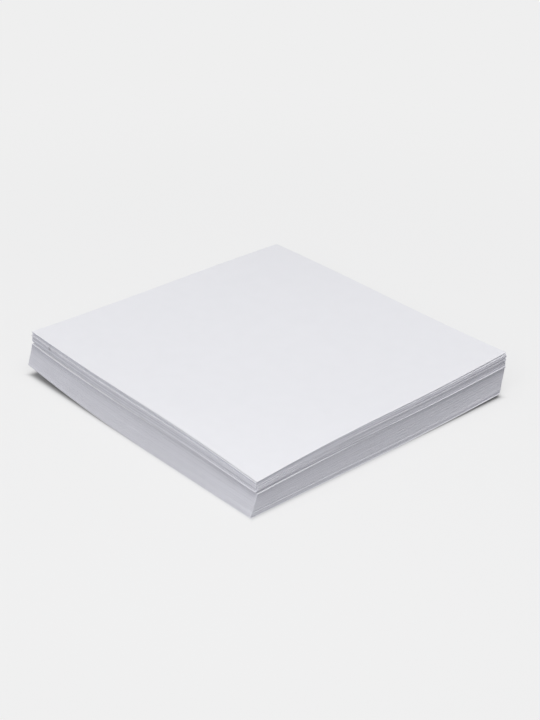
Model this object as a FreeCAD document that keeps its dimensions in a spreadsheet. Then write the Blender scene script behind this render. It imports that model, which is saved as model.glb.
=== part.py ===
import FreeCAD, Part
import math
import os

import Sketcher

# A memo block: a hundred loose square sheets of plain writing paper in one low pile.
#
# The sheets are parted into packets. Inside a packet they lie on each other, so a packet is one solid,
# as a book's pages are. Where the pile has slipped or twisted, a new packet starts.
#
# Frame, in millimetres: +Z up, X and Y along the edges of the bottom sheet, origin at the middle of the
# bottom sheet's lower face, which is the plane that the pile rests on. Seen from above, the front corner
# points to -X -Y, the back corner to +X +Y, the left corner to -X +Y and the right corner to +X -Y.

# ---- Driving sizes ----------------------------------------------------------------------------------

# alias, value, what it is
PILE_SIZES = [
    ("side", 90, "edge of a square sheet"),
    ("sheet_thickness", 0.088, "one sheet of plain writing paper"),
    ("clearance", 0.01, "the least air between two packets"),
    ("left_rise", 3.0, "height of the bottom sheet's left corner above the table"),
    ("right_rise", 1.2, "height of the bottom sheet's right corner above the table"),
    ("left_start", 29, "where a sheet starts to bend to its left corner, from its middle"),
    ("right_start", 31, "the same for the right corner"),
    ("front_start", 30, "the same for the front corner"),
    ("back_start", 14, "the same for the back corner"),
    ("lower_air_left", 0.05, "share of a lower packet's air that is left at its left corner"),
    ("lower_air_right", 1.03, "the same at its right corner"),
    ("lower_air_front", 0.0, "the same at its front corner"),
    ("lower_air_back", 0.17, "the same at its back corner"),
    ("upper_air_left", 0.22, "share of an upper packet's air that is left at its left corner"),
    ("upper_air_right", 1.26, "the same at its right corner, where the sheets fan out"),
    ("upper_air_front", 0.03, "the same at its front corner"),
    ("upper_air_back", 0.0, "the same at its back corner"),
    ("lean_direction", 25.5, "degrees from +X towards +Y in which the pile leans"),
    ("margin", 6, "how far a bent face reaches past the corners before it is trimmed"),
]

PACKET_FIELDS = ["sheets", "gap", "air", "lean", "slip_x", "slip_y", "twist"]

# From the bottom up: name, the part of the pile that it belongs to, and its sizes. sheets: how many it
# holds. gap: air under it, besides the clearance. air: how much higher its middle stands than the bare
# paper. lean: how far its top sheet stands off its bottom one. slip_x, slip_y, twist (degrees): how the
# whole packet lies on the pile.
PACKETS = [
    ("base_packet", "lower", [16, 0.00, 0.25, 0.84, 0.05, 0.02, 0.08]),
    ("low_packet", "lower", [16, 0.00, 0.25, 0.75, 0.05, 0.03, 0.20]),
    ("middle_packet", "lower", [16, 0.00, 0.24, 0.61, 0.04, 0.02, 0.31]),
    ("ledge_packet", "lower", [16, 0.00, 0.23, 0.39, 0.05, 0.02, 0.40]),
    ("overhang_packet", "upper", [10, 0.10, 0.25, 0.00, 0.01, -0.02, -0.05]),
    ("first_fan_packet", "upper", [7, 0.00, 0.18, 0.00, 0.09, -0.02, 0.25]),
    ("second_fan_packet", "upper", [7, 0.04, 0.18, 0.00, 0.03, -0.07, 0.21]),
    ("third_fan_packet", "upper", [6, 0.04, 0.16, 0.00, 0.08, -0.03, 0.29]),
    ("top_packet", "upper", [5, 0.02, 0.13, 0.05, 0.05, -0.06, 0.25]),
]


def fill_spreadsheet(doc):
    """Write every driving size into its own cell, with an alias."""
    sheet = doc.addObject("Spreadsheet::Sheet", "Sizes")
    row = 1
    for alias, value, note in PILE_SIZES:
        write_cell(sheet, f"B{row}", alias, value)
        sheet.set(f"A{row}", alias)
        sheet.set(f"C{row}", note)
        row += 1
    for packet, _, values in PACKETS:
        sheet.set(f"A{row}", packet)
        for column, field, value in zip("BCDEFGH", PACKET_FIELDS, values):
            write_cell(sheet, f"{column}{row}", f"{packet}_{field}", value)
        row += 1
    doc.recompute()
    return sheet


def write_cell(sheet, cell, alias, value):
    sheet.set(cell, str(value))
    sheet.setAlias(cell, alias)


# ---- The shape of a bent sheet ----------------------------------------------------------------------

# Bent faces are drawn in a frame turned by 45 degrees, whose X runs from the left corner to the right one
# and whose Y runs from the front corner to the back one.
DIAGONAL_TURN = FreeCAD.Rotation(FreeCAD.Vector(0, 0, 1), -45)
HALF_DIAGONAL = "Sizes.side / sqrt(2)"

# A packet is drawn this many times as high as it is, and its roof then cuts it off.
DRAWN_HEIGHT = 1.5

# A prism stands with a corner on +X, so the knife that trims a square is turned by this many degrees.
KNIFE_TURN = 45


def length(expression):
    """A sum of cells, which are plain numbers, as a length that can be added to a placement."""
    return f"({expression}) * 1 mm"


def reach_of(sheet):
    """Half diagonal of a sheet, and the half length of the bent face that is trimmed to it."""
    corner = sheet.side / math.sqrt(2)
    return corner, corner + sheet.margin


def bend_along(sheet, low_name, low_rise, high_name, high_rise):
    """Knots, pole places and pole heights of a second-degree curve that is level in the middle and bends
    to a corner at either end. A knot sits where a bend starts, so the curve is an exact parabola there."""
    corner, reach = reach_of(sheet)
    low_start = sheet.get(f"{low_name}_start")
    high_start = sheet.get(f"{high_name}_start")
    knots = [-reach, -low_start, high_start, reach]
    middles = [(here + there) / 2 for here, there in zip(knots, knots[1:])]
    low_end = low_rise * ((reach - low_start) / (corner - low_start)) ** 2
    high_end = high_rise * ((reach - high_start) / (corner - high_start)) ** 2
    return knots, [-reach] + middles + [reach], [low_end, 0, 0, 0, high_end]


def bent_face(sheet, rises):
    """One smooth face, level in the middle, whose corners stand that high above it or below it."""
    knots_x, places_x, heights_x = bend_along(sheet, "left", rises["left"], "right", rises["right"])
    knots_y, places_y, heights_y = bend_along(sheet, "front", rises["front"], "back", rises["back"])
    poles = [
        [FreeCAD.Vector(x, y, up_x + up_y) for y, up_y in zip(places_y, heights_y)]
        for x, up_x in zip(places_x, heights_x)
    ]
    degree = 2
    repeats = [degree + 1, 1, 1, degree + 1]
    surface = Part.BSplineSurface()
    surface.buildFromPolesMultsKnots(
        poles, repeats, repeats, knots_x, knots_y, False, False, degree, degree
    )
    return surface.toShape()


# ---- The bottom sheet -------------------------------------------------------------------------------


# The sketcher's numbers for the points of a line or arc, and for the point where its axes cross.
START, END, MIDDLE = 1, 2, 3
ORIGIN = (-1, START)


def arc_radius(span, rise):
    """Radius of an arc that leaves the level at one end and stands that high at the other."""
    return (span**2 + rise**2) / (2 * rise)


def bottom_profile(doc, sheet):
    """Section of the bottom sheet along the diagonal: a level strip with an arc at each end."""
    corner, reach = reach_of(sheet)
    thick = sheet.sheet_thickness
    starts = {"left": sheet.left_start, "right": sheet.right_start}
    radii = {
        "left": arc_radius(corner - sheet.left_start, sheet.left_rise),
        "right": arc_radius(corner - sheet.right_start, sheet.right_rise),
    }
    sketch = doc.addObject("Sketcher::SketchObject", "BottomProfile")
    sketch.Placement = FreeCAD.Placement(
        FreeCAD.Vector(0, 0, 0), DIAGONAL_TURN * FreeCAD.Rotation(FreeCAD.Vector(1, 0, 0), 90)
    )

    def add_line(x1, y1, x2, y2):
        return sketch.addGeometry(Part.LineSegment(FreeCAD.Vector(x1, y1, 0), FreeCAD.Vector(x2, y2, 0)))

    def add_arc(side, radius):
        """An arc from the level part outwards. Returns it and the place of its free end."""
        sign, free = (-1, START) if side == "left" else (1, END)
        centre = FreeCAD.Vector(sign * starts[side], radii[side], 0)
        down = math.radians(270)
        swung = down + sign * math.asin((reach - starts[side]) / radius)
        circle = Part.Circle(centre, FreeCAD.Vector(0, 0, 1), radius)
        arc = sketch.addGeometry(Part.ArcOfCircle(circle, min(down, swung), max(down, swung)))
        return arc, sketch.getPoint(arc, free)

    floor_line = add_line(-starts["left"], 0, starts["right"], 0)
    roof_line = add_line(-starts["left"], thick, starts["right"], thick)
    low_left, low_left_end = add_arc("left", radii["left"])
    low_right, low_right_end = add_arc("right", radii["right"])
    high_left, high_left_end = add_arc("left", radii["left"] - thick)
    high_right, high_right_end = add_arc("right", radii["right"] - thick)
    left_end = add_line(low_left_end.x, low_left_end.y, high_left_end.x, high_left_end.y)
    right_end = add_line(low_right_end.x, low_right_end.y, high_right_end.x, high_right_end.y)

    def tie(kind, *where):
        return sketch.addConstraint(Sketcher.Constraint(kind, *where))

    def drive(kind, expression, name, *where):
        index = tie(kind, *where)
        sketch.renameConstraint(index, name)
        sketch.setExpression(f"Constraints.{name}", expression)

    levels = [(floor_line, low_left, low_right), (roof_line, high_left, high_right)]
    for line, left_arc, right_arc in levels:
        tie("Horizontal", line)
        tie("Tangent", line, START, left_arc, END)
        tie("Tangent", line, END, right_arc, START)
    ends = [(low_left, high_left, left_end, START), (low_right, high_right, right_end, END)]
    for low, high, wall, free in ends:
        tie("Coincident", low, MIDDLE, high, MIDDLE)
        tie("Coincident", wall, START, low, free)
        tie("Coincident", wall, END, high, free)
        tie("Vertical", wall)
    tie("PointOnObject", floor_line, START, ORIGIN[0])
    drive("DistanceX", "Sizes.left_start", "left_start", floor_line, START, *ORIGIN, starts["left"])
    drive("DistanceX", "Sizes.right_start", "right_start", *ORIGIN, floor_line, END, starts["right"])
    drive("DistanceY", "Sizes.sheet_thickness", "thickness", floor_line, END, roof_line, END, thick)
    drive("DistanceX", f"{HALF_DIAGONAL} + Sizes.margin", "left_reach", low_left, START, *ORIGIN, reach)
    drive("DistanceX", f"{HALF_DIAGONAL} + Sizes.margin", "right_reach", *ORIGIN, low_right, END, reach)
    for side, arc in [("left", low_left), ("right", low_right)]:
        span = f"({HALF_DIAGONAL} - Sizes.{side}_start)"
        rise = f"Sizes.{side}_rise"
        drive("Radius", f"({span} ^ 2 + {rise} ^ 2) / (2 * {rise})", f"{side}_radius", arc, radii[side])
    return sketch


def build_bottom_sheet(doc, sheet):
    """The sheet that the pile stands on. Its level part is the plane that rests on the table."""
    profile = bottom_profile(doc, sheet)
    strip = doc.addObject("Part::Extrusion", "BottomStrip")
    strip.Base = profile
    strip.DirMode = "Normal"
    strip.Solid = True
    strip.Symmetric = True
    strip.setExpression("LengthFwd", f"2 * ({HALF_DIAGONAL} + Sizes.margin)")
    return trim_to_square(doc, "bottom_sheet", strip, length("0"), length("0"), "0")


# ---- Packets ----------------------------------------------------------------------------------------


def trim_to_square(doc, label, body, centre_x, centre_y, twist):
    """Cut a bent body to the square of a sheet, with an upright knife at that centre and twist."""
    knife = doc.addObject("Part::Prism", f"{label}_knife")
    knife.Polygon = 4
    knife.setExpression("Circumradius", HALF_DIAGONAL)
    knife.setExpression("Height", "2 * Sizes.side")
    knife.Placement.Rotation = FreeCAD.Rotation(FreeCAD.Vector(0, 0, 1), KNIFE_TURN)
    knife.setExpression("Placement.Base.x", centre_x)
    knife.setExpression("Placement.Base.y", centre_y)
    knife.setExpression("Placement.Base.z", "-Sizes.side")
    knife.setExpression("Placement.Rotation.Angle", f"{KNIFE_TURN} + {twist}")
    cut = doc.addObject("Part::Common", f"{label}_cut")
    cut.Base = body
    cut.Tool = knife
    cut.Label = label
    return cut


def packet_floor(doc, sheet, label, rises, centre):
    """The bent face that a packet stands on, or that the lid lies on."""
    face = doc.addObject("Part::Feature", f"{label}_floor")
    face.Shape = bent_face(sheet, rises)
    face.Placement = FreeCAD.Placement(FreeCAD.Vector(0, 0, 0), DIAGONAL_TURN)
    for axis in "xyz":
        face.setExpression(f"Placement.Base.{axis}", centre[axis])
    return face


def leaning_pile(doc, label, floor, lean_x, lean_y, height):
    """The packet's lowest sheet drawn upwards, in the direction in which the packet leans."""
    own = f"Sizes.{label}_"
    place = f"{floor.Name}.Placement.Base"
    slip_x = f"{place}.x + {length(f'{own}slip_x')}"
    slip_y = f"{place}.y + {length(f'{own}slip_y')}"
    pile = doc.addObject("Part::Extrusion", f"{label}_pile")
    pile.Base = trim_to_square(doc, f"{label}_lowest_sheet", floor, slip_x, slip_y, f"{own}twist")
    pile.DirMode = "Custom"
    pile.Solid = True
    pile.setExpression("Dir.x", lean_x)
    pile.setExpression("Dir.y", lean_y)
    pile.setExpression("Dir.z", height)
    pile.setExpression("LengthFwd", f"{DRAWN_HEIGHT} * sqrt(({own}lean) ^ 2 + ({height}) ^ 2)")
    return pile


def cut_by_roof(doc, label, pile, next_floor, gap):
    """End a packet that far below the floor of the next one."""
    above = doc.addObject("Part::Extrusion", f"{label}_above")
    above.Base = next_floor
    above.DirMode = "Custom"
    above.Dir = FreeCAD.Vector(0, 0, 1)
    above.Solid = True
    above.setExpression("LengthFwd", "Sizes.side")
    above.setExpression("LengthRev", gap)
    packet = doc.addObject("Part::Cut", label)
    packet.Base = pile
    packet.Tool = above
    packet.Label = label
    return packet


def build_packets(doc, sheet):
    """Pile the packets on the bottom sheet. A packet's air is thinner or thicker at its corners than in
    its middle, so the corners of its roof bend otherwise than those of its floor."""
    rises = {"left": sheet.left_rise, "right": sheet.right_rise, "front": 0, "back": 0}
    centre = {"x": length("0"), "y": length("0")}
    below_top = length("Sizes.sheet_thickness")
    floors, gaps, piles = [], [], []
    for label, block, _ in PACKETS:
        own = f"Sizes.{label}_"
        gaps.append(f"Sizes.clearance + {own}gap")
        centre["z"] = f"{below_top} + {length(gaps[-1])}"
        floor = packet_floor(doc, sheet, label, rises, centre)
        floors.append(floor)

        height = f"{own}sheets * Sizes.sheet_thickness + {own}air"
        lean_x = f"{own}lean * cos(Sizes.lean_direction * 1 deg)"
        lean_y = f"{own}lean * sin(Sizes.lean_direction * 1 deg)"
        piles.append(leaning_pile(doc, label, floor, lean_x, lean_y, height))

        air = sheet.get(f"{label}_air")
        for name in rises:
            rises[name] -= air * (1 - sheet.get(f"{block}_air_{name}"))
        place = f"{floor.Name}.Placement.Base"
        centre = {"x": f"{place}.x + {length(lean_x)}", "y": f"{place}.y + {length(lean_y)}"}
        below_top = f"{place}.z + {length(height)}"
    gaps.append("Sizes.clearance")
    centre["z"] = f"{below_top} + {length(gaps[-1])}"
    floors.append(packet_floor(doc, sheet, "lid", rises, centre))
    return [
        cut_by_roof(doc, packet[0], pile, roof, gap)
        for packet, pile, roof, gap in zip(PACKETS, piles, floors[1:], gaps[1:])
    ]


# ---- Build, check and write -------------------------------------------------------------------------


def check(doc, parts):
    """Stop if any object failed, or a sub-part is empty, invalid or not one solid."""
    for item in doc.Objects:
        if "Invalid" in item.State or "Error" in item.State:
            raise RuntimeError(f"{item.Name} failed: {item.State}")
    for part in parts:
        shape = part.Shape
        if shape.isNull() or not shape.isValid() or len(shape.Solids) != 1:
            raise RuntimeError(f"{part.Label} is not one valid solid")


def main():
    doc = FreeCAD.newDocument("MemoBlock")
    sheet = fill_spreadsheet(doc)
    parts = [build_bottom_sheet(doc, sheet)] + build_packets(doc, sheet)
    doc.recompute()
    check(doc, parts)
    os.makedirs("parts", exist_ok=True)
    for part in parts:
        part.Shape.exportStep(f"parts/{part.Label}.step")
        print(f"{part.Label}: {part.Shape.Volume / sheet.side ** 2:.3f} mm thick on average")


main()
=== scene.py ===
# %% [markdown]
# # A memo block: a hundred loose sheets of paper
#
# This lesson dresses a small pile of square memo sheets. The construction is already there: a fixed frame of
# ten plain solids, one for the bottom sheet and one for each packet of sheets that has slipped, twisted or
# let air in. We load it first, because every size and place below has to agree with it.

# %% Load the frame
import math

import bpy
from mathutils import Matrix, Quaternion, Vector


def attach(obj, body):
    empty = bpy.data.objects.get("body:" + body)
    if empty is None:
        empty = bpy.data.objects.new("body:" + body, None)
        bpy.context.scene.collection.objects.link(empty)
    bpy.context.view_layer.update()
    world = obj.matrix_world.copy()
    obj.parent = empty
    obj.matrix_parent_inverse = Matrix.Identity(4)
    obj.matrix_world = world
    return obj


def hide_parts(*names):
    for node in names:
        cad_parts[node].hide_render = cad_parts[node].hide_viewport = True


MM = 0.001


def in_mm(lengths):
    """Lengths in millimetres, rounded for printing."""
    return [round(length / MM, 2) for length in lengths]


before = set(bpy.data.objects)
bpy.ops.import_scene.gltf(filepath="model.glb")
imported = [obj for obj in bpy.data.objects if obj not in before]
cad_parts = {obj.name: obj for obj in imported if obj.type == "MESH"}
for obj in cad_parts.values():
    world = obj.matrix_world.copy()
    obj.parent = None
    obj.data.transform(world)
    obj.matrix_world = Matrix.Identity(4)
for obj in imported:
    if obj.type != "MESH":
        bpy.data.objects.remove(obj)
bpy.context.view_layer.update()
print("frame nodes:", sorted(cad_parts))

# %% [markdown]
# ## The size of a sheet
#
# A pile of paper is ruled by few sizes: the square sheet, its thickness, and how the pile lies. Paper takes
# up damp unevenly, so no sheet is quite flat: it stays level round its middle, and from some distance on it
# bends up or down to each corner. Here are the sizes that all the sheets share. We write them in
# millimetres, as a stationer would, and turn them into metres where they are used.

# %% Sizes of a sheet, in millimetres
SIDE = 90
SHEET_THICKNESS = 0.088
HALF_DIAGONAL = SIDE / math.sqrt(2)

# How far from its middle a sheet starts to bend to a corner.
BEND_START = {"left": 29, "right": 31, "front": 30, "back": 14}
CORNERS = tuple(BEND_START)
print("a corner is", round(HALF_DIAGONAL, 2), "mm from the middle of its sheet")

# %% [markdown]
# ## The camera
#
# The pile stands with one corner towards us, seen from a little above, through a long lens. A long lens from
# over half a metre keeps the far edges nearly parallel to the near ones, which is how a catalogue shows
# small things. The camera comes early, so that each later step can be looked at through it.

# %% Camera
CAMERA_AZIMUTH = math.radians(-43.22)
CAMERA_ELEVATION = math.radians(30.11)
CAMERA_ROLL = math.radians(1.82)
CAMERA_DISTANCE = 605.76 * MM
CAMERA_AIM = Vector((10.76, 9.13, 0)) * MM
LENS_LENGTH, SENSOR_WIDTH = 110, 36
NEAREST_SEEN = 0.01

away = Vector((
    math.sin(CAMERA_AZIMUTH) * math.cos(CAMERA_ELEVATION),
    -math.cos(CAMERA_AZIMUTH) * math.cos(CAMERA_ELEVATION),
    math.sin(CAMERA_ELEVATION),
))
camera = bpy.data.objects.new("camera", bpy.data.cameras.new("camera"))
camera.data.lens = LENS_LENGTH
camera.data.sensor_width = SENSOR_WIDTH
camera.data.clip_start = NEAREST_SEEN
camera.location = CAMERA_AIM + away * CAMERA_DISTANCE
camera.rotation_mode = "QUATERNION"
camera.rotation_quaternion = (-away).to_track_quat("-Z", "Y") @ Quaternion((0, 0, 1), CAMERA_ROLL)
bpy.context.scene.collection.objects.link(camera)
bpy.context.scene.camera = camera
print("camera stands at, mm:", in_mm(camera.location))

# %% [markdown]
# ## Helpers for node trees
#
# Both the shape and the finish of the sheets are node trees. A tree reads best when each node is one line of
# code, so a few small helpers do the wiring: one adds a node and fills its inputs with numbers or with other
# nodes' outputs, one does a sum, and one makes an empty tree with named inputs and outputs.

# %% Helpers
def plug(tree, value, socket):
    """Give a socket a link when the value is another socket, and otherwise a fixed value."""
    if isinstance(value, bpy.types.NodeSocket):
        tree.links.new(value, socket)
    else:
        socket.default_value = value


def add_node(tree, kind, inputs=None, **settings):
    """A node of this kind. Its settings come first, because they can change which inputs it has."""
    node = tree.nodes.new(kind)
    for name, value in settings.items():
        setattr(node, name, value)
    for name, value in (inputs or {}).items():
        plug(tree, value, node.inputs[name])
    return node


def calculate(tree, operation, *values):
    """The result of a sum of numbers."""
    node = tree.nodes.new("ShaderNodeMath")
    node.operation = operation
    for value, socket in zip(values, node.inputs):
        plug(tree, value, socket)
    return node.outputs[0]


def new_group(name, kind, inputs, outputs):
    """An empty tree, its input sockets and its output sockets."""
    tree = bpy.data.node_groups.new(name, kind)
    for direction, sockets in (("INPUT", inputs), ("OUTPUT", outputs)):
        for label, socket_type in sockets.items():
            tree.interface.new_socket(name=label, in_out=direction, socket_type=socket_type)
    return tree, tree.nodes.new("NodeGroupInput").outputs, tree.nodes.new("NodeGroupOutput").inputs


NUMBER, WHOLE, VECTOR = "NodeSocketFloat", "NodeSocketInt", "NodeSocketVector"
GEOMETRY, MATERIAL, COLOUR = "NodeSocketGeometry", "NodeSocketMaterial", "NodeSocketColor"

# %% [markdown]
# ## The bend of one sheet
#
# Paper bends in one direction at a time. A sheet that lifts or sinks at a corner rolls along a line across
# that corner, so its height changes with the square of the distance past the line. We could sculpt or
# simulate this, but a formula keeps all hundred sheets nearly parallel, and that is what makes a block look
# like a block. Each corner of each sheet has its own rise, a number below nought where the corner sinks.

# %% Node group: height of a bent sheet
def make_bend_group():
    """Gives the height at a place on a sheet, from the rise of each of its corners."""
    inputs = {"Offset": VECTOR}
    for corner in CORNERS:
        inputs[f"{corner} rise"] = NUMBER
    tree, given, result = new_group("Bend of a sheet", "GeometryNodeTree", inputs, {"Height": NUMBER})
    parts = add_node(tree, "ShaderNodeSeparateXYZ", {"Vector": given["Offset"]}).outputs
    diagonal = 1 / math.sqrt(2)
    across = calculate(tree, "MULTIPLY", calculate(tree, "SUBTRACT", parts["X"], parts["Y"]), diagonal)
    along = calculate(tree, "MULTIPLY", calculate(tree, "ADD", parts["X"], parts["Y"]), diagonal)
    distances = {
        "left": calculate(tree, "MULTIPLY", across, -1),
        "right": across,
        "front": calculate(tree, "MULTIPLY", along, -1),
        "back": along,
    }
    height = 0
    for corner, distance in distances.items():
        start = BEND_START[corner] * MM
        past = calculate(tree, "MAXIMUM", calculate(tree, "SUBTRACT", distance, start), 0)
        share = calculate(tree, "DIVIDE", past, HALF_DIAGONAL * MM - start)
        square = calculate(tree, "MULTIPLY", share, share)
        height = calculate(tree, "MULTIPLY_ADD", given[f"{corner} rise"], square, height)
    plug(tree, height, result["Height"])
    return tree


bend_group = make_bend_group()
print("bend group has", len(bend_group.nodes), "nodes")

# %% [markdown]
# ## A packet of sheets
#
# A packet is the same sheet many times over, so Geometry Nodes makes it: a line of points, a thin slab on
# each, a small random slip and twist for each, then the bend. Modelling one thick block with lines painted
# on its sides would be lighter, but then no sheet could stand proud of the next, and those fine ledges are
# what the eye reads as paper.
#
# The tree is long, so we add it in three parts. The first says where each sheet lies. Its number in the
# packet gives its height and its share of the packet's lean, and is also what its random numbers grow from.

# %% Where each sheet lies
def add_vectors(tree, first, second):
    return add_node(tree, "ShaderNodeVectorMath", {0: first, 1: second}, operation="ADD").outputs["Vector"]


def scale_vector(tree, vector, factor):
    node = add_node(tree, "ShaderNodeVectorMath", {"Vector": vector, "Scale": factor}, operation="SCALE")
    return node.outputs["Vector"]


def join_parts(tree, **parts):
    """A vector of these parts, with nought for a part that is left out."""
    return add_node(tree, "ShaderNodeCombineXYZ", parts).outputs["Vector"]


def random_swing(tree, reach, number, seed):
    """A random number for each sheet, from minus this reach up to it."""
    node = add_node(tree, "FunctionNodeRandomValue", {"ID": number, "Seed": seed}, data_type="FLOAT")
    limits = {socket.name: socket for socket in node.inputs if socket.type == "VALUE"}
    plug(tree, calculate(tree, "MULTIPLY", reach, -1), limits["Min"])
    plug(tree, reach, limits["Max"])
    return next(socket for socket in node.outputs if socket.type == "VALUE")


def place_sheets(tree, given, number, share):
    """The middle that each sheet bends about, the middle of its slab, and its turn."""
    height = scale_vector(tree, join_parts(tree, Z=given["Pitch"]), number)
    climb = add_vectors(tree, height, scale_vector(tree, given["Lean"], share))
    bend_middle = add_vectors(tree, given["Middle"], climb)
    slip_x, slip_y, twist = [
        random_swing(tree, reach, number, calculate(tree, "ADD", given["Seed"], draw))
        for draw, reach in enumerate([given["Loose Slip"], given["Loose Slip"], given["Loose Twist"]])
    ]
    half_sheet = join_parts(tree, Z=calculate(tree, "MULTIPLY", given["Thickness"], 0.5))
    slipped = add_vectors(tree, given["Slip"], join_parts(tree, X=slip_x, Y=slip_y))
    slab_middle = add_vectors(tree, add_vectors(tree, bend_middle, half_sheet), slipped)
    own_twist = calculate(tree, "MULTIPLY_ADD", share, given["Twist Growth"], given["Twist"])
    return bend_middle, slab_middle, join_parts(tree, Z=calculate(tree, "ADD", own_twist, twist))

# %% [markdown]
# The second part puts a slab at each of those places. The slabs are copies until they are made real, and an
# exported model keeps no copies, so they are made real here. Before that, each one is given what it has to
# remember: the middle it bends about, its share of the packet, and how bright its cut edge is.

# %% Slabs that remember their sheet
EDGE_DRAW = 3


def add_slabs(tree, given, middle, turn):
    """A slab of many cells at each place, as a copy."""
    points = add_node(tree, "GeometryNodeMeshLine", {"Count": given["Sheets"]}).outputs["Mesh"]
    placed = add_node(tree, "GeometryNodeSetPosition", {"Geometry": points, "Position": middle})
    size = join_parts(tree, X=given["Side"], Y=given["Side"], Z=given["Thickness"])
    edge_points = calculate(tree, "ADD", given["Cells"], 1)
    slab = add_node(tree, "GeometryNodeMeshCube", {
        "Size": size, "Vertices X": edge_points, "Vertices Y": edge_points, "Vertices Z": 2,
    }).outputs["Mesh"]
    rotation = add_node(tree, "FunctionNodeEulerToRotation", {"Euler": turn}).outputs["Rotation"]
    return add_node(tree, "GeometryNodeInstanceOnPoints", {
        "Points": placed.outputs["Geometry"], "Instance": slab, "Rotation": rotation,
    }).outputs["Instances"]


def make_real(tree, given, slabs, number, share, bend_middle):
    """Real slabs, with what each one remembers stored on it."""
    tone = random_swing(tree, 1, number, calculate(tree, "ADD", given["Seed"], EDGE_DRAW))
    # The edge's brightness: its own grey and painted shade, with a random spread by sheet.
    edge_grey_and_shade = calculate(tree, "MULTIPLY_ADD", tone, given["Edge Spread"], given["Edge Grey And Shade"])
    for name, value, kind in (
        ("bend_middle", bend_middle, "FLOAT_VECTOR"),
        ("sheet_share", share, "FLOAT"),
        ("edge_grey_and_shade", edge_grey_and_shade, "FLOAT"),
    ):
        slabs = add_node(tree, "GeometryNodeStoreNamedAttribute", {
            "Geometry": slabs, "Name": name, "Value": value,
        }, data_type=kind, domain="INSTANCE").outputs["Geometry"]
    return add_node(tree, "GeometryNodeRealizeInstances", {"Geometry": slabs}).outputs["Geometry"]


def recall(tree, name, kind):
    """What each slab remembers under this name."""
    node = add_node(tree, "GeometryNodeInputNamedAttribute", {"Name": name}, data_type=kind)
    return node.outputs["Attribute"]

# %% [markdown]
# The third part bends the slabs and finishes them. A bent slab is shaded smoothly across its face, and its
# cut edges stay crisp. The air in a packet has settled by a different amount at each corner, so the corners'
# rises change from sheet to sheet.

# %% Node tree: a packet of loose sheets
CRISP_ANGLE = math.radians(40)
PACKET_INPUTS = {
    "Sheets": WHOLE, "Side": NUMBER, "Thickness": NUMBER, "Pitch": NUMBER, "Cells": WHOLE,
    "Middle": VECTOR, "Lean": VECTOR, "Slip": VECTOR, "Twist": NUMBER, "Twist Growth": NUMBER,
    "Loose Slip": NUMBER, "Loose Twist": NUMBER, "Edge Grey And Shade": NUMBER, "Edge Spread": NUMBER,
    "Seed": WHOLE, "Material": MATERIAL,
}
for corner in CORNERS:
    PACKET_INPUTS[f"{corner} rise"] = NUMBER
    PACKET_INPUTS[f"{corner} settling"] = NUMBER


def bend_slabs(tree, given, slabs):
    """Lift each point of the slabs by the bend of its own sheet."""
    position = add_node(tree, "GeometryNodeInputPosition").outputs["Position"]
    offset = add_node(tree, "ShaderNodeVectorMath", {
        0: position, 1: recall(tree, "bend_middle", "FLOAT_VECTOR"),
    }, operation="SUBTRACT").outputs["Vector"]
    share = recall(tree, "sheet_share", "FLOAT")
    inputs = {"Offset": offset}
    for corner in CORNERS:
        settled = calculate(tree, "MULTIPLY", share, given[f"{corner} settling"])
        inputs[f"{corner} rise"] = calculate(tree, "SUBTRACT", given[f"{corner} rise"], settled)
    bend = add_node(tree, "GeometryNodeGroup", inputs, node_tree=bend_group)
    raised = join_parts(tree, Z=bend.outputs["Height"])
    bent = add_node(tree, "GeometryNodeSetPosition", {"Geometry": slabs, "Offset": raised})
    return bent.outputs["Geometry"]


def finish_slabs(tree, given, slabs):
    """Smooth faces, crisp edges and the paper's material."""
    smooth = add_node(tree, "GeometryNodeSetShadeSmooth", {
        "Geometry": slabs, "Shade Smooth": True,
    }, domain="FACE").outputs["Geometry"]
    angle = add_node(tree, "GeometryNodeInputMeshEdgeAngle").outputs["Unsigned Angle"]
    crisp = add_node(tree, "GeometryNodeSetShadeSmooth", {
        "Geometry": smooth,
        "Selection": calculate(tree, "GREATER_THAN", angle, CRISP_ANGLE),
        "Shade Smooth": False,
    }, domain="EDGE").outputs["Geometry"]
    painted = add_node(tree, "GeometryNodeSetMaterial", {"Geometry": crisp, "Material": given["Material"]})
    return painted.outputs["Geometry"]


def make_packet_tree():
    """The three parts joined."""
    outputs = {"Geometry": GEOMETRY}
    tree, given, result = new_group("Packet of sheets", "GeometryNodeTree", PACKET_INPUTS, outputs)
    number = add_node(tree, "GeometryNodeInputIndex").outputs["Index"]
    share = calculate(tree, "DIVIDE", number, given["Sheets"])
    bend_middle, slab_middle, turn = place_sheets(tree, given, number, share)
    slabs = add_slabs(tree, given, slab_middle, turn)
    slabs = make_real(tree, given, slabs, number, share, bend_middle)
    slabs = bend_slabs(tree, given, slabs)
    plug(tree, finish_slabs(tree, given, slabs), result["Geometry"])
    return tree


packet_tree = make_packet_tree()
print("packet tree has", len(packet_tree.nodes), "nodes")

# %% [markdown]
# ## The paper
#
# Writing paper is white with a breath of blue, because it holds a brightener. It is matt, and its surface is
# a felt of short fibres, so light breaks up on it without a highlight. Seen close, its brightness wanders a
# little, like thin cloud. Both come from noise, the cloud as colour and the fibres as a height that a bump
# reads. They go in a group of their own, so that any other paper can use them with its own sizes.

# %% Node group: paper fibre
CLOUD_DETAIL = 3.0
FIBRE_DETAIL, FIBRE_CURL = 2.0, 1.5
NOISE_MIDDLE = 0.5


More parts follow.
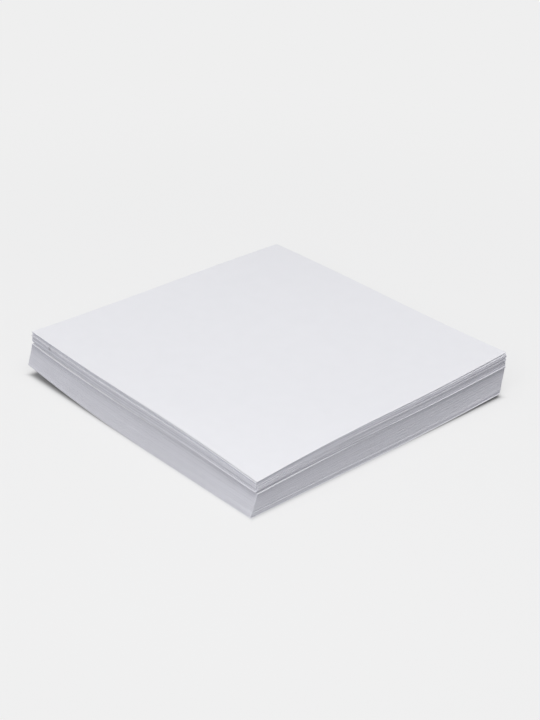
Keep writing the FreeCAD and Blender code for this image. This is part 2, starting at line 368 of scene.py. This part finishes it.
def make_fibre_group():
    """Gives a clouded colour, and the height of the fibres."""
    inputs = {"Cloud": NUMBER, "Cloud Size": NUMBER, "Fibre Size": NUMBER, "Colour": COLOUR}
    outputs = {"Colour": COLOUR, "Height": NUMBER}
    tree, given, result = new_group("Paper fibre", "ShaderNodeTree", inputs, outputs)
    place = add_node(tree, "ShaderNodeTexCoord").outputs["Object"]
    cloud = add_node(tree, "ShaderNodeTexNoise", {
        "Vector": place, "Scale": calculate(tree, "DIVIDE", 1, given["Cloud Size"]), "Detail": CLOUD_DETAIL,
    }).outputs["Fac"]
    fibre = add_node(tree, "ShaderNodeTexNoise", {
        "Vector": place, "Scale": calculate(tree, "DIVIDE", 1, given["Fibre Size"]),
        "Detail": FIBRE_DETAIL, "Distortion": FIBRE_CURL,
    }).outputs["Fac"]
    drift = calculate(tree, "MULTIPLY", calculate(tree, "SUBTRACT", cloud, NOISE_MIDDLE), given["Cloud"])
    tinted = scale_vector(tree, given["Colour"], calculate(tree, "ADD", 1, drift))
    plug(tree, tinted, result["Colour"])
    plug(tree, fibre, result["Height"])
    return tree


fibre_group = make_fibre_group()
print("fibre group has", len(fibre_group.nodes), "nodes")

# %% [markdown]
# The cut edge of a sheet looks different from its face. Partly that is its own: the knife leaves it rough
# and a little greyer, and no two sheets match. Partly it is painted shade: the edges are made darker and
# bluer than the face, most of all on the lower packets, to stand for the cooler shade on the upright sides.
# The material tells edge from face by the way the surface points, and reads how bright the edge is from what
# the sheet remembers. A fleck of dust on the edges near the left corner is a dark spot that fades out with
# distance from its middle.

# %% Edges and fleck
EDGE_UPWARD = 0.5
FLECK = {"place": Vector((-42.8, 38.2, 10.25)) * MM, "radius": 0.8 * MM, "shade": 0.55}


def mix_colours(tree, share, first, second):
    """A blend of two colours. The node has a pair of sockets for every kind of value."""
    node = add_node(tree, "ShaderNodeMix", data_type="RGBA")
    colours = [socket for socket in node.inputs if socket.type == "RGBA"]
    plug(tree, share, node.inputs[0])
    plug(tree, first, colours[0])
    plug(tree, second, colours[1])
    return next(socket for socket in node.outputs if socket.type == "RGBA")


def add_edge_mask(tree):
    """One on the cut edges, which point less than this far upward, and nought on the faces."""
    normal = add_node(tree, "ShaderNodeNewGeometry").outputs["Normal"]
    upward = add_node(tree, "ShaderNodeSeparateXYZ", {"Vector": normal}).outputs["Z"]
    return calculate(tree, "LESS_THAN", calculate(tree, "ABSOLUTE", upward), EDGE_UPWARD)


def add_fleck_tone(tree):
    """One everywhere but at the fleck, which is darker."""
    place = add_node(tree, "ShaderNodeTexCoord").outputs["Object"]
    distance = add_node(tree, "ShaderNodeVectorMath", {0: place, 1: FLECK["place"]}, operation="DISTANCE")
    return add_node(tree, "ShaderNodeMapRange", {
        "Value": distance.outputs["Value"], "From Max": FLECK["radius"], "To Min": FLECK["shade"],
    }, interpolation_type="SMOOTHSTEP").outputs["Result"]


# %% Paper material
PAPER_WHITE = (0.80, 0.802, 0.83, 1)
# The cut edges' colour, bluer than the face: a painted cool shade on the upright sides.
EDGE_COOL_SHADE_WHITE = (0.80, 0.80, 0.87, 1)
PAPER_ROUGHNESS, PAPER_GLOSS = 0.9, 0.25
FIBRE = {"Cloud": 0.03, "Cloud Size": 4 * MM, "Fibre Size": 0.2 * MM}
FIBRE_DEPTH, FIBRE_STRENGTH = 0.01 * MM, 0.5


def make_paper():
    material = bpy.data.materials.new("paper")
    material.use_nodes = True
    tree = material.node_tree
    shader = tree.nodes["Principled BSDF"]
    shader.inputs["Roughness"].default_value = PAPER_ROUGHNESS
    shader.inputs["Specular IOR Level"].default_value = PAPER_GLOSS

    edge = add_edge_mask(tree)
    # The upright cut edges take the bluer colour, which is painted shade.
    colour = mix_colours(tree, edge, PAPER_WHITE, EDGE_COOL_SHADE_WHITE)
    fibre = add_node(tree, "ShaderNodeGroup", {**FIBRE, "Colour": colour}, node_tree=fibre_group)
    # Each sheet's edge brightness, its own grey and painted shade, read from what the sheet remembers.
    own_shade = add_node(tree, "ShaderNodeAttribute", attribute_name="edge_grey_and_shade").outputs["Fac"]
    edge_tone = calculate(tree, "MULTIPLY_ADD", edge, calculate(tree, "SUBTRACT", own_shade, 1), 1)
    tone = calculate(tree, "MULTIPLY", edge_tone, add_fleck_tone(tree))
    plug(tree, scale_vector(tree, fibre.outputs["Colour"], tone), shader.inputs["Base Color"])

    bump = add_node(tree, "ShaderNodeBump", {
        "Height": fibre.outputs["Height"], "Distance": FIBRE_DEPTH, "Strength": FIBRE_STRENGTH,
    })
    plug(tree, bump.outputs["Normal"], shader.inputs["Normal"])
    return material


paper = make_paper()
print("paper material has", len(paper.node_tree.nodes), "nodes")

# %% [markdown]
# ## How the pile lies
#
# The bottom sheet's left and right corners have curled up from the table. Higher up the sheets sink towards
# the front and back corners, because the air between them is pressed out there. The lower packets lean one
# way and turn on evenly. At the ledge, 65 sheets up, the pile has been handled, and the upper packets are
# turned back and fanned. We list the packets from the bottom up, so the table reads as the pile was laid.

# %% Packets, from the bottom up, in millimetres and degrees
CLEARANCE = 0.01
LEAN_DIRECTION = math.radians(25.5)

# How high the bottom sheet's corners stand.
BOTTOM_RISE = {"left": 3.0, "right": 1.2, "front": 0, "back": 0}

# The share of a packet's air that is left at each corner, in the lower and in the upper part of the pile.
AIR_SHARES = {
    "lower": {"left": 0.05, "right": 1.03, "front": 0.0, "back": 0.17},
    "upper": {"left": 0.22, "right": 1.26, "front": 0.03, "back": 0.0},
}

# The part of the pile, sheets, gap under the packet, air in its middle, lean, slip in X and in Y, and twist.
PACKETS = {
    "bottom_sheet": ("lower", 1, 0, 0, 0, 0, 0, 0),
    "base_packet": ("lower", 16, 0.00, 0.25, 0.84, 0.05, 0.02, 0.08),
    "low_packet": ("lower", 16, 0.00, 0.25, 0.75, 0.05, 0.03, 0.20),
    "middle_packet": ("lower", 16, 0.00, 0.24, 0.61, 0.04, 0.02, 0.31),
    "ledge_packet": ("lower", 16, 0.00, 0.23, 0.39, 0.05, 0.02, 0.40),
    "overhang_packet": ("upper", 10, 0.10, 0.25, 0.00, 0.01, -0.02, -0.05),
    "first_fan_packet": ("upper", 7, 0.00, 0.18, 0.00, 0.09, -0.02, 0.25),
    "second_fan_packet": ("upper", 7, 0.04, 0.18, 0.00, 0.03, -0.07, 0.21),
    "third_fan_packet": ("upper", 6, 0.04, 0.16, 0.00, 0.08, -0.03, 0.29),
    "top_packet": ("upper", 5, 0.02, 0.13, 0.05, 0.05, -0.06, 0.25),
}

# The lower sheets turn on evenly: this is how much further round a packet's last sheet lies than its first.
TWIST_GROWTH = {"base_packet": 0.15, "low_packet": 0.11, "middle_packet": 0.09, "ledge_packet": 0.07}
print("sheets in the pile:", sum(packet[1] for packet in PACKETS.values()))

# %% [markdown]
# Within a packet a few sheets often keep together, as they were picked up or put back. Such a bunch makes
# one wide line on the side of the pile, where single sheets make fine ones. Each bunch has its own slip and
# twist on top of its packet's, and its edges are painted a touch lighter or darker than its neighbours', by
# turns: painted light and shade that stands for the bright and dark lines between bunches.

# %% Bunches of sheets, and how loose they are
# From the bottom up: how many sheets, their own slip in X and in Y, and their own twist.
BUNCHES = {
    "bottom_sheet": [(1, 0.05, -0.15, -0.10)],
    "base_packet": [(5, 0.00, 0.02, 0.02), (6, 0.00, -0.05, -0.05), (5, 0.00, 0.03, 0.03)],
    "low_packet": [(16, 0.00, 0.00, 0.00)],
    "middle_packet": [(7, 0.00, -0.03, -0.03), (9, 0.00, -0.08, 0.03)],
    "ledge_packet": [
        (12, 0.00, -0.12, 0.00), (2, -0.05, -0.20, 0.15), (1, -0.15, -0.20, 0.25), (1, -0.15, -0.15, 0.30),
    ],
    "overhang_packet": [(3, 0.05, -0.22, -0.15), (4, 0.05, -0.10, 0.20), (3, 0.05, -0.10, 0.45)],
    "first_fan_packet": [(3, 0.00, -0.05, 0.15), (4, 0.05, -0.05, 0.10)],
    "second_fan_packet": [(4, 0.00, -0.15, -0.20), (3, -0.15, 0.00, 0.00)],
    "third_fan_packet": [(3, 0.05, -0.10, -0.35), (3, 0.10, -0.10, -0.45)],
    "top_packet": [(2, 0.05, -0.05, -0.25), (2, 0.15, 0.15, 0.20), (1, -0.05, 0.00, 0.05)],
}

# How far a single sheet may lie from its bunch, and how far round.
LOOSE_SLIP = {"lower": 0.03, "upper": 0.06}
LOOSE_TWIST = {"lower": 0.015, "upper": 0.03}

# How bright the cut edges are beside the faces, partly their own grey and partly painted shade, which is
# deeper on the lower packets; how much that differs at random by sheet; and the painted light and shade by
# bunch.
EDGE_GREY_AND_SHADE = {"lower": 0.755, "upper": 0.88}
EDGE_SPREAD = {"lower": 0.05, "upper": 0.12}
BUNCH_LIGHT_AND_SHADE = {"lower": 0.01, "upper": 0.05}
print("bunches:", sum(len(bunches) for bunches in BUNCHES.values()))

# %% [markdown]
# ## Pile up the packets
#
# Each packet starts where the one below ends: one clearance and its own gap higher, and as far along as the
# packets below have leaned. The same few lines place all of them, so a change to one packet carries upwards.
# The tree's inputs are set by their identifiers before the object is first evaluated, and the result is then
# turned into a plain mesh, because a finished piece should carry no live modifier.

# %% Make one bunch
CELLS = 20


def build_bunch(name, seed, values):
    """A plain mesh object of a bunch of sheets, made by the packet tree with these values."""
    holder = bpy.data.objects.new(name, bpy.data.meshes.new(name))
    bpy.context.scene.collection.objects.link(holder)
    modifier = holder.modifiers.new("sheets", "NODES")
    modifier.node_group = packet_tree
    settings = dict(values, Seed=seed, Material=paper, Cells=CELLS)
    for item in packet_tree.interface.items_tree:
        if item.in_out == "INPUT" and item.name in settings:
            modifier[item.identifier] = settings[item.name]
    evaluated = holder.evaluated_get(bpy.context.evaluated_depsgraph_get())
    mesh = bpy.data.meshes.new_from_object(evaluated)
    holder.modifiers.remove(modifier)
    holder.data = mesh
    return holder


# %% Build the pile
SEED_STEP = 10

pieces = []
level, leaned, rises = 0, Vector((0, 0, 0)), dict(BOTTOM_RISE)
lean_line = Vector((math.cos(LEAN_DIRECTION), math.sin(LEAN_DIRECTION), 0))
for node, (block, sheets, gap, air, lean, slip_x, slip_y, twist) in PACKETS.items():
    pitch = SHEET_THICKNESS + air / sheets
    growth = TWIST_GROWTH.get(node, 0)
    level += gap
    for bunch, (own_sheets, own_x, own_y, own_twist) in enumerate(BUNCHES[node]):
        part = own_sheets / sheets
        # Alternate bunches get lighter and darker edges: painted light and shade.
        tone = 1 + BUNCH_LIGHT_AND_SHADE[block] * (-1) ** len(pieces)
        settings = {
            "Sheets": own_sheets, "Side": SIDE * MM, "Thickness": SHEET_THICKNESS * MM, "Pitch": pitch * MM,
            "Middle": (leaned + Vector((0, 0, level))) * MM, "Lean": lean_line * lean * part * MM,
            "Slip": Vector((slip_x + own_x, slip_y + own_y, 0)) * MM,
            "Twist": math.radians(twist + own_twist - growth / 2), "Twist Growth": math.radians(growth),
            "Loose Slip": LOOSE_SLIP[block] * MM if air else 0,
            "Loose Twist": math.radians(LOOSE_TWIST[block]) if air else 0,
            "Edge Grey And Shade": EDGE_GREY_AND_SHADE[block] * tone, "Edge Spread": EDGE_SPREAD[block],
        }
        for corner in CORNERS:
            settling = air * part * (1 - AIR_SHARES[block][corner])
            settings[f"{corner} rise"] = rises[corner] * MM
            settings[f"{corner} settling"] = settling * MM
            rises[corner] -= settling
        name = f"{node.replace('_packet', '_sheets')}_{bunch + 1}"
        piece = build_bunch(name, SEED_STEP * len(pieces), settings)
        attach(piece, "root")
        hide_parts(node)
        pieces.append(piece)
        level += own_sheets * pitch
        leaned += lean_line * lean * part
        print(f"{name}: {own_sheets} sheets, {len(piece.data.polygons)} faces, up to {level:.2f} mm")
    level += CLEARANCE

# %% [markdown]
# ## The table
#
# The pile lies on a plain pale table that runs out of view on all sides. The table does two jobs. For the
# paper it is a matt board that throws light back up at the cut edges. For the camera it is a plain ground,
# so most of what the camera sees there is a flat colour, and only near the pile does its soft shadow show
# through. The ground under the sheets is painted darker, a painted shade, and has no flat colour, so it
# stays dark beneath the curled corners. We could light the whole table evenly with more lamps, but they
# would wash out the paper's edges.

# %% Table paint
TABLE_BOARD = (0.65, 0.65, 0.65, 1)
TABLE_SEEN = (0.863, 0.863, 0.863, 1)
# A painted shade for the ground under the pile.
TABLE_PAINTED_SHADE = (0.45, 0.45, 0.45, 1)

# How much of the shadow shows near the pile, and from where to where that fades to nothing.
SHADOW_SHARE = 0.25
SHADOW_NEAR, SHADOW_FAR = 80 * MM, 200 * MM

# The painted shade on the ground under the pile is a square. It fades out between these distances from its
# middle.
UNDER_PILE, BESIDE_PILE = 43.9 * MM, 46.8 * MM
UNDER_MIDDLE = Vector((0.3, -0.3, 0)) * MM


def rise_smoothly(tree, value, start, end, low=0.0, high=1.0):
    """Goes from low to high while the value goes from start to end."""
    return add_node(tree, "ShaderNodeMapRange", {
        "Value": value, "From Min": start, "From Max": end, "To Min": low, "To Max": high,
    }, interpolation_type="SMOOTHSTEP").outputs["Result"]


def make_table_paint():
    """A matt board for the paper, and mostly a flat colour for the camera, with a painted shade under the
    pile.
    """
    material = bpy.data.materials.new("table_paint")
    material.use_nodes = True
    tree = material.node_tree
    camera_ray = add_node(tree, "ShaderNodeLightPath").outputs["Is Camera Ray"]
    place = add_node(tree, "ShaderNodeTexCoord").outputs["Object"]
    centred = add_vectors(tree, place, -UNDER_MIDDLE)
    parts = add_node(tree, "ShaderNodeSeparateXYZ", {"Vector": centred}).outputs
    reach = calculate(tree, "MAXIMUM", *[calculate(tree, "ABSOLUTE", parts[axis]) for axis in "XY"])
    beside = rise_smoothly(tree, reach, UNDER_PILE, BESIDE_PILE)

    open_table = mix_colours(tree, camera_ray, TABLE_BOARD, TABLE_SEEN)
    board = tree.nodes["Principled BSDF"]
    board.inputs["Roughness"].default_value = 1.0
    board.inputs["Specular IOR Level"].default_value = 0.0
    # Under the pile the board's colour is a painted shade.
    plug(tree, mix_colours(tree, beside, TABLE_PAINTED_SHADE, open_table), board.inputs["Base Color"])
    flat = add_node(tree, "ShaderNodeEmission", {"Color": TABLE_SEEN, "Strength": 1.0})

    distance = add_node(tree, "ShaderNodeVectorMath", {0: place}, operation="LENGTH").outputs["Value"]
    far = rise_smoothly(tree, distance, SHADOW_NEAR, SHADOW_FAR, 1 - SHADOW_SHARE)
    flatness = calculate(tree, "MULTIPLY", far, beside)
    seen = add_node(tree, "ShaderNodeMixShader", {"Fac": calculate(tree, "MULTIPLY", camera_ray, flatness)})
    plug(tree, board.outputs["BSDF"], seen.inputs[1])
    plug(tree, flat.outputs["Emission"], seen.inputs[2])
    plug(tree, seen.outputs["Shader"], tree.nodes["Material Output"].inputs["Surface"])
    return material


# %% Table
TABLE_HALF = 4.0

table_mesh = bpy.data.meshes.new("table")
table_corners = [(-1, -1, 0), (1, -1, 0), (1, 1, 0), (-1, 1, 0)]
table_mesh.from_pydata([Vector(corner) * TABLE_HALF for corner in table_corners], [], [(0, 1, 2, 3)])
table = bpy.data.objects.new("table", table_mesh)
bpy.context.scene.collection.objects.link(table)
table_mesh.materials.append(make_table_paint())
print("table material has", len(table_mesh.materials[0].node_tree.nodes), "nodes")

# %% [markdown]
# ## The light
#
# A stack of paper shows its sheets by fine steps, and those only show in light that comes from above. So a
# pale sky gives just the ground level of the light. A wide lamp and a round soft box stand overhead, the box
# near enough to make the near corner a little brighter than the far one. A second box, on the left and
# about as high as it is far out, makes the left face the brighter of the two that we see.

# %% Light
SKY_STRENGTH = 0.29
SKY_COLOUR = (1.0, 1.0, 1.03, 1)
WIDE_LAMP = {"direction": (-0.18, -0.06, 0.9), "strength": 0.83, "angle": math.radians(80)}
SOFT_BOXES = {
    "over_box": {"direction": (-0.03, -0.21, 0.98), "distance": 0.8, "width": 0.6, "watts": 2.17},
    "front_box": {"direction": (-0.68, -0.27, 0.68), "distance": 0.7, "width": 0.5, "watts": 1.23},
}


def aim_lamp(name, kind, direction):
    """A lamp that shines from that direction at the middle of the pile."""
    lamp = bpy.data.objects.new(name, bpy.data.lights.new(name, kind))
    lamp.rotation_mode = "QUATERNION"
    lamp.rotation_quaternion = direction.to_track_quat("Z", "Y")
    bpy.context.scene.collection.objects.link(lamp)
    return lamp


wide_lamp = aim_lamp("wide_lamp", "SUN", Vector(WIDE_LAMP["direction"]))
wide_lamp.data.energy = WIDE_LAMP["strength"]
wide_lamp.data.angle = WIDE_LAMP["angle"]
for name, box in SOFT_BOXES.items():
    direction = Vector(box["direction"]).normalized()
    soft_box = aim_lamp(name, "AREA", direction)
    soft_box.location = direction * box["distance"]
    soft_box.data.shape = "DISK"
    soft_box.data.size = box["width"]
    soft_box.data.energy = box["watts"]
    print(name, "stands at, mm:", in_mm(soft_box.location))

world = bpy.data.worlds.new("sky")
world.use_nodes = True
world.node_tree.nodes["Background"].inputs["Color"].default_value = SKY_COLOUR
world.node_tree.nodes["Background"].inputs["Strength"].default_value = SKY_STRENGTH
bpy.context.scene.world = world
bpy.context.scene.view_settings.view_transform = "Standard"
